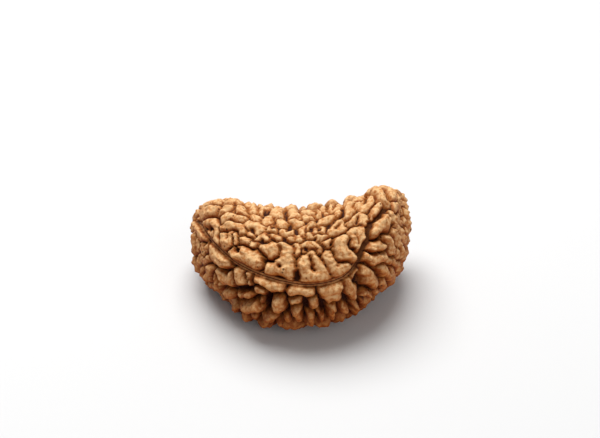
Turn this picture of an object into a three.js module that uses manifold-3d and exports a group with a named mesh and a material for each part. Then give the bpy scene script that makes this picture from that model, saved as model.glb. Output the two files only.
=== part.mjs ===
// A one-faced half-moon rudraksha: the stony seed of an Elaeocarpus fruit, grown as one piece.
// Its core is a thick crescent that lies on one flank. The whole core is covered by puffy,
// worm-like nodules with deep furrows between them, and one suture runs from horn to horn
// round the outer curve: a narrow furrow with a raised rib along its middle.
// Millimetres. +X is along the seed, +Y is from the outer curve to the hollow one, +Z is up.
import * as THREE from "three";
import { mergeVertices } from "three/addons/utils/BufferGeometryUtils.js";
import Module from "manifold-3d";

// Driving dimensions of the smooth core, which runs at half the height of the nodules
const CORE_HALF_LENGTH = 14.7;
const CORE_HALF_DEPTH = 8.3;
const CORE_HALF_HEIGHT = 7.5;
const END_FULLNESS = 3.25; // 2 is an ellipse, more makes the horns blunter
const BEND = 8.8; // how far the horns curl back past the middle
const TAPER = 0.09; // how much thicker the right horn is, and how much thinner the left
const RIGHT_HORN_LIFT = 0.9;
const CORE_FRONT_SHIFT = -2.6; // where the middle of the core is along Y

// The front is drawn on a plane that looks down at this angle: u to the right, v up
const FRONT_TILT = THREE.MathUtils.degToRad(35);
const FRONT_UP = new THREE.Vector3(0, Math.sin(FRONT_TILT), Math.cos(FRONT_TILT));
const DRAWN_LIFT = 0.35;

// Relief
const NODULE_TOP = 0.55; // above the core
const FURROW_FLOOR = -0.85; // below the core
const SHOULDER = 0.6; // how far from a furrow a nodule reaches most of its height
const CROWN = 1.6; // how far from a furrow a broad nodule still swells
const CROWN_SHARE = 0.3;
const LARGE_GIRTH = 0.7; // half width of a nodule with the full relief, smaller ones have less
const GIRTH_BLEND = 0.3;
const WAVER = 0.16; // how far a furrow wanders from an even line
const WAVER_PITCH = 2.3;

// Suture
const BELLY_END = 8.6; // past it the underside is that of the horns
const BELLY_EDGE = 0.7;
const HORN_RISE = 0.6;
const HORN_RISE_END = 12.8;
const HORN_RISE_FADE = 1.6;
const UNDERSIDE_TOP = -2.5;
const UNDERSIDE_FADE = 1.5;
const SUTURE_HALF_WIDTH = 0.45;
const SUTURE_SHOULDER = 0.35;
const SUTURE_FLOOR = -0.6;
const RIB_RADIUS = 0.34;
const RIB_LIFT = -0.45; // height of the rib's middle line, against the core
const RIB_POINTS = 18; // of the suture: right of them it is an open valley
const RIB_STEPS = 48;
const RIB_SIDES = 3;

// Nodules out of sight of the front, placed by rule
const SEED = 7.31;
const CANDIDATES = 2600;
const HIDDEN_SIZES = [0.95, 0.7, 0.5]; // half widths, the large ones placed first
const HIDDEN_REACH = 1.3; // half length of the longest

// Mesh and seat
const MESH_DETAIL = 21;
const EVEN_ROUNDS = 80;
const PULL_ROUNDS = 12;
const PULL_LIMIT = 0.33;
const SEAT_LEVEL = -7.55; // the level that the seed rests at, against the core's middle
const ORIGIN_Y = -0.03; // middle of the finished seed, against the core

// Nodules of the front, as on the real seed: half width, then strokes of [u, v] points.
// Two strokes of one nodule grow together with no furrow between them.
const FRONT_NODULES = [
  // left horn, over the suture
  [0.9, [[-13.3, 5.9], [-11.8, 6.1]]],
  [0.4, [[-14.5, 6.3], [-13.6, 7.0]]],
  [0.5, [[-12.6, 7.5], [-11.2, 7.7]]],
  [0.6, [[-10.1, 7.5], [-8.6, 7.4]]],
  [0.6, [[-10.2, 6.2], [-9.5, 6.4]]],
  [0.65, [[-8.4, 6.4], [-7.8, 5.9]]],
  [0.55, [[-10.4, 4.9], [-9.3, 5.2], [-8.0, 5.0]]],
  [0.55, [[-12.8, 4.4], [-12.1, 4.6], [-11.3, 4.2], [-11.3, 3.2], [-11.2, 2.1]]],
  [0.4, [[-12.3, 3.2], [-11.9, 2.8]]],
  [0.45, [[-10.4, 2.7], [-10.3, 1.7], [-9.6, 1.5], [-9.3, 2.8]]],
  [0.5, [[-10.2, 3.9], [-9.2, 4.1], [-8.3, 3.9], [-7.9, 3.4]]],
  [0.35, [[-8.6, 2.9], [-8.6, 2.3]]],
  [0.55, [[-7.8, 2.4], [-7.3, 2.1]]],
  // the large lobes along the suture
  [1.0, [[-8.7, 0.3], [-7.2, 0.5], [-6.1, -0.7]]],
  [0.9, [[-4.8, 0.7], [-3.8, 0.7]], [[-1.9, 1.0], [-1.7, -0.2]], [[-4.0, -1.5], [-1.6, -1.6]]],
  [0.75, [[0.6, -0.6], [0.8, -2.6], [3.1, -2.5]], [[1.7, 0.2], [2.6, -0.6], [3.1, -2.0]]],
  [0.65, [[3.4, 0.4], [4.1, -0.7], [4.8, -1.8], [6.2, -1.5]]],
  [0.8, [[4.9, 2.3], [5.0, 1.2], [5.8, 0.4], [7.1, -0.1]], [[5.8, 2.4], [5.8, 1.2]]],
  // the middle of the upper flank, where nodules are small
  [0.4, [[-7.2, 4.0], [-6.9, 4.6], [-6.0, 4.6], [-5.5, 3.9], [-5.7, 3.3]]],
  [0.4, [[-6.9, 3.0], [-6.3, 2.9]]],
  [0.35, [[-6.1, 2.3], [-5.6, 2.9], [-4.9, 2.8], [-4.7, 2.2]]],
  [0.35, [[-6.7, 1.9], [-6.2, 1.6]]],
  [0.6, [[-6.6, 7.1], [-6.4, 6.4]]],
  [0.45, [[-6.4, 5.6], [-6.0, 5.4]]],
  [0.5, [[-5.4, 6.9], [-5.0, 6.2]]],
  [0.7, [[-3.2, 6.6], [-3.1, 5.9]]],
  [0.5, [[-4.5, 5.1], [-4.1, 4.9]]],
  [0.65, [[-1.1, 6.4], [-0.7, 5.8]]],
  [0.65, [[0.8, 6.3], [1.5, 6.1]]],
  [0.45, [[2.4, 6.2], [2.5, 5.8]]],
  [0.35, [[3.1, 6.7], [3.1, 6.0]]],
  [0.45, [[4.0, 7.0], [4.1, 6.4]]],
  [0.4, [[5.0, 7.1], [4.9, 6.0]]],
  [0.6, [[6.6, 7.5], [6.5, 6.2], [6.4, 5.6]]],
  [0.6, [[-3.0, 4.6], [-2.1, 4.6]]],
  [0.45, [[-4.0, 3.7], [-3.0, 3.6]]],
  [0.4, [[-2.5, 3.2], [-1.6, 3.1], [-1.0, 3.7]]],
  [0.5, [[-3.8, 2.4], [-2.8, 2.4]]],
  [0.5, [[-0.9, 4.8], [0.1, 4.8]]],
  [0.45, [[0.3, 4.0], [0.2, 3.5]]],
  [0.4, [[-1.9, 2.4], [-1.2, 2.2]]],
  [0.45, [[-0.4, 2.7], [0.1, 2.3]]],
  [0.45, [[0.9, 3.1], [1.4, 2.8]]],
  [0.45, [[1.2, 4.1], [1.6, 4.7]]],
  [0.4, [[1.8, 3.7], [2.2, 3.5]]],
  [0.35, [[-0.3, 1.5], [-0.4, 0.6]]],
  [0.5, [[0.3, 1.1], [1.1, 1.8], [1.9, 1.2], [2.5, 0.7]]],
  [0.4, [[2.1, 2.9], [3.5, 2.7]]],
  [0.45, [[2.6, 4.6], [3.3, 5.1], [4.3, 5.4]]],
  [0.45, [[2.7, 3.9], [3.3, 3.8]]],
  [0.5, [[3.5, 1.6], [4.1, 2.3]]],
  [0.6, [[5.3, 4.9], [5.0, 4.0]], [[4.2, 3.5], [6.0, 3.7]]],
  // right horn, over the suture
  [0.5, [[6.6, 4.7], [7.2, 5.1], [7.9, 5.6], [8.7, 5.3], [9.0, 4.6]]],
  [0.5, [[6.7, 3.3], [7.3, 3.9], [7.9, 3.8], [8.5, 3.1], [8.6, 2.2]], [[6.9, 3.0], [7.2, 2.0], [7.6, 1.4]]],
  [0.5, [[7.5, 8.0], [8.4, 8.2]]],
  [0.5, [[7.6, 7.2], [8.2, 6.8], [8.8, 6.7], [9.3, 7.2], [9.7, 8.0]]],
  [0.85, [[9.7, 8.8], [10.6, 8.9], [11.1, 8.2], [11.4, 7.4]]],
  [0.5, [[10.6, 7.0], [10.3, 6.3], [9.9, 5.3]]],
  // right horn, under the suture
  [0.85, [[12.3, 9.1], [12.8, 8.7], [12.7, 8.0]]],
  [0.5, [[13.7, 8.6], [14.2, 7.8]]],
  [0.65, [[12.8, 6.7], [13.6, 6.9], [14.3, 6.6]]],
  [0.5, [[13.9, 5.5], [14.3, 4.7]]],
  [0.95, [[9.9, 3.4], [10.8, 4.1], [11.5, 4.8]]],
  [0.5, [[12.3, 5.4], [12.9, 5.1], [12.9, 4.5]]],
  [0.75, [[9.7, 1.2], [10.6, 1.6], [11.2, 1.2]]],
  [0.6, [[11.5, 2.6], [12.2, 1.8], [12.6, 0.5]]],
  [0.45, [[12.7, 3.4], [13.4, 2.7], [13.7, 1.5]]],
  [0.5, [[13.7, 3.9], [14.4, 3.0], [14.7, 1.8]]],
  [0.4, [[13.4, 0.4], [13.4, -0.3]]],
  [0.75, [[8.9, -0.2], [9.9, -0.5], [11.5, -0.3]]],
  [0.45, [[13.0, -1.0], [13.6, -2.2]]],
  [0.75, [[11.1, -2.0], [12.0, -2.3], [12.7, -3.0]]],
  [0.95, [[8.7, -1.9], [9.5, -2.9], [10.1, -3.8]]],
  [0.35, [[7.5, -2.0], [7.8, -2.8]]],
  [0.5, [[11.3, -3.9], [11.6, -4.5]]],
  [0.4, [[12.4, -4.3], [12.8, -3.9]]],
  [0.5, [[10.6, -5.2], [11.7, -5.3]]],
  [0.5, [[8.8, -5.3], [9.5, -5.3]]],
  // belly, under the suture
  [0.35, [[8.4, -6.1], [8.3, -6.9]]],
  [0.6, [[6.5, -3.7], [7.0, -4.5], [7.2, -5.4]]],
  [0.65, [[7.6, -6.8], [7.3, -7.7]]],
  [0.6, [[5.7, -6.9], [6.1, -7.6]]],
  [0.7, [[4.5, -7.1], [4.2, -8.4]]],
  [0.7, [[3.1, -4.7], [4.4, -4.6], [5.2, -4.4]], [[3.4, -5.7], [4.6, -5.7]]],
  [0.6, [[-1.2, -4.8], [0.5, -4.8], [1.6, -4.9]]],
  [0.55, [[-0.9, -5.9], [-0.2, -6.1]]],
  [0.5, [[1.7, -5.9], [2.1, -6.3], [2.0, -6.8]]],
  [0.8, [[-5.8, -3.3], [-4.6, -3.8], [-2.8, -4.2]]],
  [0.5, [[-5.9, -4.6], [-5.2, -4.9]]],
  [0.75, [[-8.6, -2.1], [-8.4, -3.4]]],
  [0.35, [[-7.2, -2.6], [-7.0, -3.5]]],
  [0.6, [[-11.2, -2.4], [-10.7, -3.5], [-9.9, -3.5], [-9.7, -2.7]]],
  [0.85, [[-12.2, 0.8], [-11.5, -0.2], [-10.3, -1.0]]],
  [0.75, [[-14.5, 4.6], [-14.2, 3.6], [-13.5, 2.7]]],
  [0.35, [[-14.4, 1.8], [-14.3, 0.7]]],
  [0.4, [[-13.5, 1.6], [-13.6, 0.3]]],
  [0.4, [[-14.1, -0.3], [-13.0, -0.5]]],
  [0.5, [[-13.7, -2.0], [-13.4, -3.2]]],
  [0.5, [[-12.7, -2.0], [-12.5, -3.3]]],
  [0.6, [[-12.6, -4.3], [-11.8, -5.0]]],
  [0.75, [[-10.3, -5.4], [-9.8, -5.5]]],
  [0.7, [[-8.1, -5.4], [-7.2, -5.4]]],
  [0.95, [[-7.5, -7.3], [-6.2, -6.9], [-5.8, -7.2]]],
  [0.9, [[-3.3, -6.2], [-2.9, -7.2]]],
  [0.55, [[-3.7, -8.0], [-4.7, -8.7]]],
  [0.6, [[-0.4, -7.4], [-0.3, -8.4]]],
  [0.45, [[-2.0, -8.3], [-1.7, -8.9]]],
  [0.55, [[1.1, -8.0], [1.3, -9.1]]],
  [0.45, [[2.5, -7.5], [2.6, -8.8]]],
];

// Further furrows of the front, where nodules stand apart or are notched: [u, v] points
const FRONT_FURROWS = [
  [[-12.4, 3.9], [-12.2, 3.6]],
  [[-9.9, 3.1], [-9.9, 2.4]],
  [[-8.8, 3.2], [-8.9, 1.6]],
  [[-6.6, 3.8], [-6.4, 3.5]],
  [[-5.9, 6.7], [-5.3, 5.4]],
  [[-4.5, 6.2], [-4.6, 5.8]],
  [[-4.9, 3.8], [-4.3, 2.4]],
  [[-5.3, 2.3], [-5.2, 1.9]],
  [[-1.95, 6.5], [-1.9, 5.2]],
  [[-1.45, 4.4], [-1.7, 3.6]],
  [[3.9, 4.5], [3.8, 4.2]],
  [[-2.9, 1.3], [-3.0, 0.0]],
  [[-0.5, -0.2], [-0.4, -2.9]],
  [[3.7, -1.2], [4.3, -2.9]],
  [[-5.3, 0.2], [-5.0, -1.9]],
  [[7.6, 3.3], [7.7, 2.3], [8.0, 1.7]],
  [[4.4, 2.5], [4.4, 1.3]],
  [[12.6, 4.6], [12.4, 4.0]],
  [[0.4, -5.8], [0.9, -6.6], [0.8, -7.4]],
  [[6.0, -5.6], [6.6, -6.4]],
  [[7.4, -2.9], [8.2, -4.5], [10.2, -4.9]],
  [[-4.4, -4.9], [-4.7, -6.0], [-4.5, -7.3]],
  [[-9.1, -4.5], [-6.7, -4.5]],
  [[-11.9, -2.0], [-11.4, -4.3], [-9.4, -4.6]],
  [[-9.0, -4.8], [-9.0, -6.4]],
  [[-2.9, -8.9], [-2.4, -9.3]],
  [[11.3, 6.3], [12.0, 6.3]],
  [[9.1, 4.7], [9.4, 4.1]],
];

// The suture, horn to horn: [u, v] points of the front
const SUTURE = [
  [-14.9, 5.5], [-14.0, 4.4], [-13.0, 3.0], [-12.0, 1.9], [-11.0, 0.95], [-10.0, 0.1], [-9.0, -0.75],
  [-8.0, -1.35], [-7.0, -1.85], [-5.5, -2.45], [-4.0, -2.9], [-2.0, -3.4], [0.0, -3.75], [1.5, -3.8],
  [3.0, -3.65], [4.5, -3.35], [5.8, -2.85], [6.8, -2.1], [7.5, -1.2], [8.05, -0.3], [8.3, 0.6],
  [8.8, 1.6], [9.25, 2.6], [9.35, 3.6], [9.7, 4.6], [10.7, 5.7], [11.5, 6.4],
];

const wasm = await Module();
wasm.setup();

// Half thickness of the core at u, as a share of its half thickness in the middle
function coreShare(x) {
  const end = Math.min(1, Math.abs(x / CORE_HALF_LENGTH)) ** END_FULLNESS;
  return (1 - end) ** (1 / END_FULLNESS) * (1 + TAPER * (x / CORE_HALF_LENGTH) ** 3);
}

function coreMiddle(x) {
  const along = x / CORE_HALF_LENGTH;
  return new THREE.Vector3(x, CORE_FRONT_SHIFT + BEND * along ** 2, RIGHT_HORN_LIFT * along);
}

// The point of the core's surface that a direction from its middle leads to
function corePoint(direction) {
  const round = Math.hypot(direction.y, direction.z);
  const reach = (Math.abs(direction.x) ** END_FULLNESS + round ** END_FULLNESS) ** (-1 / END_FULLNESS);
  const x = CORE_HALF_LENGTH * direction.x * reach;
  const girth = reach * (1 + TAPER * (x / CORE_HALF_LENGTH) ** 3);
  const offset = new THREE.Vector3(0, CORE_HALF_DEPTH * direction.y, CORE_HALF_HEIGHT * direction.z);
  return coreMiddle(x).addScaledVector(offset, girth);
}

// The direction that leads to a point, the reverse of corePoint
function coreDirection(point) {
  const x = THREE.MathUtils.clamp(point.x, -CORE_HALF_LENGTH, CORE_HALF_LENGTH);
  const fromMiddle = point.clone().sub(coreMiddle(x));
  const girth = 1 + TAPER * (x / CORE_HALF_LENGTH) ** 3;
  return new THREE.Vector3(
    x / CORE_HALF_LENGTH,
    fromMiddle.y / CORE_HALF_DEPTH / girth,
    fromMiddle.z / CORE_HALF_HEIGHT / girth,
  ).normalize();
}

function coreNormal(direction) {
  const step = 1e-3;
  const helper = Math.abs(direction.x) < 0.9 ? new THREE.Vector3(1, 0, 0) : new THREE.Vector3(0, 1, 0);
  const first = direction.clone().cross(helper).normalize();
  const second = direction.clone().cross(first);
  const slope = (side) =>
    corePoint(direction.clone().addScaledVector(side, step).normalize()).sub(
      corePoint(direction.clone().addScaledVector(side, -step).normalize()),
    );
  return slope(first).cross(slope(second)).normalize();
}

// The point of the core's near side that shows at u, v of the front. Past the outline it is
// the outline's own point.
function nearSidePoint(u, v) {
  const toEye = new THREE.Vector3(0, -Math.cos(FRONT_TILT), Math.sin(FRONT_TILT));
  const x = THREE.MathUtils.clamp(u, -0.995 * CORE_HALF_LENGTH, 0.995 * CORE_HALF_LENGTH);
  const middle = coreMiddle(x);
  const depth = CORE_HALF_DEPTH * coreShare(x);
  const height = CORE_HALF_HEIGHT * coreShare(x);
  const outline = Math.hypot(FRONT_UP.y * depth, FRONT_UP.z * height);
  const rise = THREE.MathUtils.clamp(v - middle.dot(FRONT_UP), -outline, outline);
  const a = (toEye.y / depth) ** 2 + (toEye.z / height) ** 2;
  const b = (rise * FRONT_UP.y * toEye.y) / depth ** 2 + (rise * FRONT_UP.z * toEye.z) / height ** 2;
  const c = ((rise * FRONT_UP.y) / depth) ** 2 + ((rise * FRONT_UP.z) / height) ** 2 - 1;
  const reach = (-b + Math.sqrt(Math.max(0, b * b - a * c))) / a;
  return middle.addScaledVector(FRONT_UP, rise).addScaledVector(toEye, reach);
}

// The point of the core under a place of the front that is drawn at the nodules' height
function frontPoint([u, v]) {
  let point = nearSidePoint(u, v);
  for (let round = 0; round < 4; round += 1) {
    const lift = coreNormal(coreDirection(point)).multiplyScalar(DRAWN_LIFT);
    point = nearSidePoint(u - lift.x, v - lift.dot(FRONT_UP));
  }
  return point;
}

// Straight pieces of a stroke, as pairs of points
function segments(points) {
  return points.slice(1).map((end, i) => new THREE.Line3(points[i], end));
}

const nearest = new THREE.Vector3();

function distanceTo(lines, point) {
  let least = Infinity;
  for (const line of lines) {
    line.closestPointToPoint(point, true, nearest);
    least = Math.min(least, nearest.distanceTo(point));
  }
  return least;
}

// A repeatable draw between 0 and 1
function draw(index) {
  const wave = Math.sin(index * 12.9898 + SEED) * 43758.5453;
  return wave - Math.floor(wave);
}

function frontNodules() {
  return FRONT_NODULES.map(([halfWidth, ...strokes]) => ({
    halfWidth,
    lines: strokes.flatMap((stroke) => segments(stroke.map(frontPoint))),
  }));
}

// Even places over the whole core, tried in turn. One is kept where no nodule is near.
function addHiddenNodules(nodules) {
  const goldenTurn = Math.PI * (3 - Math.sqrt(5));
  HIDDEN_SIZES.forEach((halfWidth, pass) => {
    for (let i = 0; i < CANDIDATES; i += 1) {
      const index = pass * CANDIDATES + i;
      const z = 1 - (2 * i + 1) / CANDIDATES;
      const turn = goldenTurn * i;
      const round = Math.sqrt(1 - z * z);
      const direction = new THREE.Vector3(z, round * Math.cos(turn), round * Math.sin(turn));
      const place = corePoint(direction);
      const heading = Math.PI * draw(index);
      const reach = HIDDEN_REACH * halfWidth * draw(index + 0.5);
      const normal = coreNormal(direction);
      const side = new THREE.Vector3(0, 0, 1).cross(normal).normalize();
      const along = side.clone().multiplyScalar(Math.cos(heading));
      along.addScaledVector(normal.clone().cross(side), Math.sin(heading));
      const ends = [-reach, 0, reach].map((step) => place.clone().addScaledVector(along, step));
      const free = nodules.every(({ halfWidth: other, lines }) =>
        ends.every((end) => distanceTo(lines, end) > other + halfWidth),
      );
      if (free) {
        const onCore = ends.map((end) => corePoint(coreDirection(end)));
        nodules.push({ halfWidth, lines: segments(onCore) });
      }
    }
  });
}

const nodules = frontNodules();
addHiddenNodules(nodules);
const furrows = FRONT_FURROWS.flatMap((points) => segments(points.map(frontPoint)));
const suturePoints = SUTURE.map(frontPoint);
const suture = segments(suturePoints);

// Moves a place a little, so that furrows waver
function waver(point) {
  const k = (2 * Math.PI) / WAVER_PITCH;
  const { x, y, z } = point;
  return new THREE.Vector3(
    x + WAVER * Math.sin(k * y + 1.3 * Math.sin(0.7 * k * z)),
    y + WAVER * Math.sin(k * z + 1.3 * Math.sin(0.7 * k * x)),
    z + WAVER * Math.sin(k * x + 1.3 * Math.sin(0.7 * k * y)),
  );
}

// How far a place on the core is from the nearest furrow, and the half width of the
// nodules round it
function nearFurrow(point) {
  const place = waver(point);
  let first = Infinity;
  let second = Infinity;
  let weight = 0;
  let weighed = 0;
  for (const { halfWidth, lines } of nodules) {
    const away = distanceTo(lines, place) - halfWidth;
    const share = Math.exp(-away / GIRTH_BLEND);
    weight += share;
    weighed += share * halfWidth;
    second = Math.min(second, Math.max(first, away));
    first = Math.min(first, away);
  }
  const distance = Math.min((second - first) / 2, distanceTo(furrows, place));
  return { distance, girth: weighed / weight };
}

// A quarter circle from 0 at no distance to 1 at the reach and past it
function rounded(distance, reach) {
  const left = 1 - Math.min(1, distance / reach);
  return Math.sqrt(1 - left * left);
}

// The nodules under the horns stand lower than those under the belly
function hornRise(point) {
  const along = Math.abs(point.x);
  const past = THREE.MathUtils.clamp((along - BELLY_END) / BELLY_EDGE, 0, 1);
  const before = THREE.MathUtils.clamp((HORN_RISE_END - along) / HORN_RISE_FADE, 0, 1);
  const under = THREE.MathUtils.clamp((UNDERSIDE_TOP - point.z) / UNDERSIDE_FADE, 0, 1);
  return HORN_RISE * past * before * under;
}

function relief(point) {
  const { distance, girth } = nearFurrow(point);
  const dome = (1 - CROWN_SHARE) * rounded(distance, SHOULDER) + CROWN_SHARE * rounded(distance, CROWN);
  const size = THREE.MathUtils.clamp(girth / LARGE_GIRTH, 0.5, 1.15);
  const nodule = size * (FURROW_FLOOR + (NODULE_TOP - FURROW_FLOOR) * dome) - hornRise(point);
  const fromSuture = Math.max(0, distanceTo(suture, point) - SUTURE_HALF_WIDTH);
  const wall = rounded(fromSuture, SUTURE_SHOULDER);
  return SUTURE_FLOOR + (nodule - SUTURE_FLOOR) * wall;
}

// An even ball of triangles
function ball() {
  const geometry = new THREE.IcosahedronGeometry(1, MESH_DETAIL);
  geometry.deleteAttribute("normal");
  geometry.deleteAttribute("uv");
  return mergeVertices(geometry, 1e-4);
}

function neighbours(geometry) {
  const near = Array.from({ length: geometry.attributes.position.count }, () => new Set());
  const { array } = geometry.index;
  for (let i = 0; i < array.length; i += 3) {
    const corners = [array[i], array[i + 1], array[i + 2]];
    corners.forEach((corner, k) => near[corner].add(corners[(k + 1) % 3]).add(corners[(k + 2) % 3]));
  }
  return near.map((set) => [...set]);
}

// Slides each place on the core toward its farther neighbours, which evens the triangles out
function evened(directions, near) {
  const places = directions.map(corePoint);
  return places.map((place, i) => {
    const move = new THREE.Vector3();
    const total = near[i].reduce((sum, j) => sum + places[j].distanceTo(place), 0);
    near[i].forEach((j) => {
      const step = places[j].clone().sub(place);
      move.addScaledVector(step, (0.5 * step.length()) / total);
    });
    return coreDirection(move.projectOnPlane(coreNormal(directions[i])).add(place));
  });
}

// How far a place is from the nearest furrow, or from an edge of the suture where that is nearer
function foldDistance(point) {
  const fromEdge = Math.abs(distanceTo(suture, point) - SUTURE_HALF_WIDTH);
  return Math.min(fromEdge, nearFurrow(point).distance);
}

// Moves a direction to the fold beside it, so that the triangles' edges run along folds
function pulledToFold(direction) {
  const step = 0.02;
  const here = corePoint(direction);
  const distance = foldDistance(here);
  if (distance > PULL_LIMIT) return direction;
  const normal = coreNormal(direction);
  const helper = Math.abs(normal.x) < 0.9 ? new THREE.Vector3(1, 0, 0) : new THREE.Vector3(0, 1, 0);
  const first = normal.clone().cross(helper).normalize();
  const second = normal.clone().cross(first);
  const slope = new THREE.Vector2(
    foldDistance(here.clone().addScaledVector(first, step)) - distance,
    foldDistance(here.clone().addScaledVector(second, step)) - distance,
  ).divideScalar(step);
  const steepness = slope.length();
  if (steepness < 0.4) return direction;
  const move = Math.min(distance / steepness, PULL_LIMIT) / steepness;
  here.addScaledVector(first, -move * slope.x).addScaledVector(second, -move * slope.y);
  return coreDirection(here);
}

function nodularBody() {
  const geometry = ball();
  const position = geometry.attributes.position;
  const near = neighbours(geometry);
  let directions = near.map((_, i) => new THREE.Vector3().fromBufferAttribute(position, i));
  for (let round = 0; round < EVEN_ROUNDS; round += 1) directions = evened(directions, near);
  for (let round = 0; round < PULL_ROUNDS; round += 1) {
    directions = evened(directions, near).map(pulledToFold);
  }
  directions.forEach((direction, i) => {
    const point = corePoint(direction);
    const lift = relief(point);
    point.addScaledVector(coreNormal(direction), lift);
    position.setXYZ(i, point.x, point.y, point.z);
  });
  return geometry;
}

// The rib along the suture, with its ends sunk
function sutureRib() {
  const ribPoints = suturePoints.slice(0, RIB_POINTS);
  const lifts = ribPoints.map((_, i) => (i === 0 || i === RIB_POINTS - 1 ? -1.4 : RIB_LIFT));
  const path = ribPoints.map((point, i) =>
    point.clone().addScaledVector(coreNormal(coreDirection(point)), lifts[i]),
  );
  const section = new THREE.Shape();
  section.absarc(0, 0, RIB_RADIUS, 0, 2 * Math.PI, false);
  const geometry = new THREE.ExtrudeGeometry(section, {
    steps: RIB_STEPS,
    curveSegments: RIB_SIDES,
    bevelEnabled: false,
    extrudePath: new THREE.CatmullRomCurve3(path),
  });
  return geometry;
}

function solid(geometry) {
  const bare = geometry.index ? geometry.toNonIndexed() : geometry.clone();
  bare.deleteAttribute("normal");
  bare.deleteAttribute("uv");
  const merged = mergeVertices(bare, 1e-4);
  const vertProperties = new Float32Array(merged.attributes.position.array);
  const triVerts = new Uint32Array(merged.index.array);
  return new wasm.Manifold(new wasm.Mesh({ numProp: 3, vertProperties, triVerts }));
}

function geometryOf(manifold) {
  const mesh = manifold.getMesh();
  const geometry = new THREE.BufferGeometry();
  geometry.setAttribute("position", new THREE.BufferAttribute(mesh.vertProperties, 3));
  geometry.setIndex(new THREE.BufferAttribute(mesh.triVerts, 1));
  return geometry;
}

// The seed is worn flat where its lowest nodules touch what it rests on
function groundBlock() {
  const size = 4 * CORE_HALF_LENGTH;
  return new THREE.BoxGeometry(size, size, size).translate(0, 0, SEAT_LEVEL - size / 2);
}

const grown = solid(nodularBody()).add(solid(sutureRib())).subtract(solid(groundBlock()));
const seedGeometry = geometryOf(grown).translate(0, -ORIGIN_Y, -SEAT_LEVEL);

const seed = new THREE.Mesh(
  seedGeometry,
  new THREE.MeshStandardMaterial({ color: "#b98a5a", roughness: 0.62, metalness: 0 }),
);
seed.name = "seed";

const part = new THREE.Group();
part.add(seed);
export default part;
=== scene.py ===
"""A one-faced half-moon rudraksha: the stony seed of an Elaeocarpus fruit, grown as one piece.

A thick crescent lies on one flank. All of it is covered by puffy, worm-like nodules with deep
furrows between them, and one suture runs from horn to horn round the outer curve.
"""
import math

import bpy
import numpy as np
from bpy.props import FloatProperty, FloatVectorProperty, IntProperty, PointerProperty
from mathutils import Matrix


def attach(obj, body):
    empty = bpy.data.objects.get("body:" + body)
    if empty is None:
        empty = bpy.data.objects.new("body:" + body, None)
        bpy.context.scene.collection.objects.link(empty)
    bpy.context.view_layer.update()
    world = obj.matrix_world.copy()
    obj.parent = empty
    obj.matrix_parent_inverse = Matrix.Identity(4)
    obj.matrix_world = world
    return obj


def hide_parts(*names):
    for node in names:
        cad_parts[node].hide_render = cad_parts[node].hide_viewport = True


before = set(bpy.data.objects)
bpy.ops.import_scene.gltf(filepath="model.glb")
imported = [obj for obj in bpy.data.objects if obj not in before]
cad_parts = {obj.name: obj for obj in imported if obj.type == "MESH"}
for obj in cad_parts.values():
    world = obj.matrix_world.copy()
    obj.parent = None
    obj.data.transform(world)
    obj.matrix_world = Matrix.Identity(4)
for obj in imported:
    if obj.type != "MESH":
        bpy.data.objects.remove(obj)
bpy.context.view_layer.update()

bl_info = {
    "name": "Rudraksha Seed",
    "version": (1, 0, 0),
    "blender": (4, 5, 0),
    "location": "View3D > Sidebar > Rudraksha",
    "description": "Grows a half-moon rudraksha seed with nodules, furrows and a suture",
    "category": "Add Mesh",
}

MM = 0.001

# The smooth core, in millimetres about its own middle. It runs at half the nodules' height.
CORE_HALF_LENGTH = 14.7
CORE_HALF_DEPTH = 8.3
CORE_HALF_HEIGHT = 7.5
END_FULLNESS = 3.25
BEND = 8.8
TAPER = 0.09
RIGHT_HORN_LIFT = 0.9
CORE_FRONT_SHIFT = -2.6

# Where the core's middle stands in the frame, in millimetres
CORE_PLACE = np.array([0.0, 0.03, 7.55])

# The front is drawn on a plane that looks down at this angle: u to the right, v up, in millimetres.
# Strokes are drawn at the nodules' height, and laid on the core in a few rounds, inside its outline.
FRONT_TILT = math.radians(35)
FRONT_UP = np.array([0.0, math.sin(FRONT_TILT), math.cos(FRONT_TILT)])
TO_EYE = np.array([0.0, -math.cos(FRONT_TILT), math.sin(FRONT_TILT)])
DRAWN_LIFT = 0.35
DRAWN_ROUNDS = 4
INSIDE_OUTLINE = 0.995

# Relief: heights, lengths and pitches in millimetres, the rest shares. A span says where a change
# starts and where it is full.
CROWN_SHARE = 0.82
CROWN_ROUNDNESS = 0.7
SPINE_HALF_WIDTH = 0.2
HEIGHT_SPREAD = 0.3
LARGE_GIRTH = 0.7
SIZE_LIMITS = (0.55, 1.3)
GIRTH_BLEND = 0.3
WAVER = 0.16
WAVER_PITCH = 2.3
LUMP_HEIGHT = 0.13
LUMP_PITCH = 1.5
GRAIN_HEIGHT = 0.04
GRAIN_PITCH = 0.6
CREASE_SIDE = 0.2

# Furrows are deepest and widest on the belly, and shallow on the top, the ends and the underside
DEPTH_SPREAD = 0.35
DEPTH_PITCH = 5.5
LEAST_DEPTH = 0.35
BELLY_SPAN = (11.6, 8.6)
BELLY_SPAN_UNDER_SUTURE = (0, 3)
BELLY_DEPTH = 0.8
BELLY_GAP = 0.09
BELLY_SWELL = 0.15
TOP_SPAN = (3, 6)
TOP_SHALLOWER = 0.35
UNDER_SPAN = (-4, -6.5)
UNDER_SHALLOWER = 0.45
END_SPAN = (12.5, 14.5)
END_SHALLOWER = 0.4

# Between the belly and the ends the underside rises
HORN_RISE = 0.6
HORN_INNER_SPAN = (8.6, 9.3)
HORN_OUTER_SPAN = (12.8, 11.2)
HORN_UNDER_SPAN = (-2.5, -4)

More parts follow.
